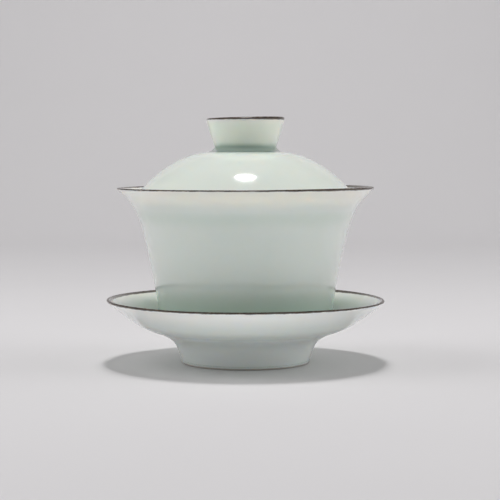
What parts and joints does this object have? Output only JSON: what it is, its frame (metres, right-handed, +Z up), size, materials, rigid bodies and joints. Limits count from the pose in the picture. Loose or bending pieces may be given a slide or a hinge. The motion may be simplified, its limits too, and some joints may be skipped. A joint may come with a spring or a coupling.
{
  "type": "gaiwan",
  "caption": "Lidded tea bowl on a footed saucer: flared thin-lipped bowl, low domed lid with a hollow ring knob, dished saucer on a tall foot.",
  "frame": {"origin": "middle of the saucer's foot, on the surface it stands on", "axes": "+Z up along the common axis of saucer, bowl and lid; the piece is turned, so X and Y are alike"},
  "size_m": [0.1082, 0.1082, 0.0953],
  "materials": {
    "glaze": "glossy pale green celadon glaze over white porcelain, thinner and warmer at the lips",
    "foot_glaze": "glossy pale green celadon glaze, a little thicker, wiped off the edges that the feet stand on",
    "iron_line": "satin dark brown iron line fired onto the lip"
  },
  "bodies": {
    "saucer": {"saucer_dish": "glaze", "saucer_foot_ring": "foot_glaze", "saucer_rim_line": "iron_line"},
    "bowl": {"bowl_body": "glaze", "bowl_foot_ring": "foot_glaze", "bowl_rim_line": "iron_line"},
    "lid": {"lid_dome": "glaze", "lid_knob": "foot_glaze", "lid_knob_rim_line": "iron_line", "lid_edge_line": "iron_line"}
  },
  "joints": [
    {"name": "bowl_lift", "type": "slide", "parent": "saucer", "child": "bowl", "axis": [0, 0, 1], "range_m": [0, 0.08]},
    {"name": "lid_lift", "type": "slide", "parent": "bowl", "child": "lid", "axis": [0, 0, 1], "range_m": [0, 0.1]}
  ]
}
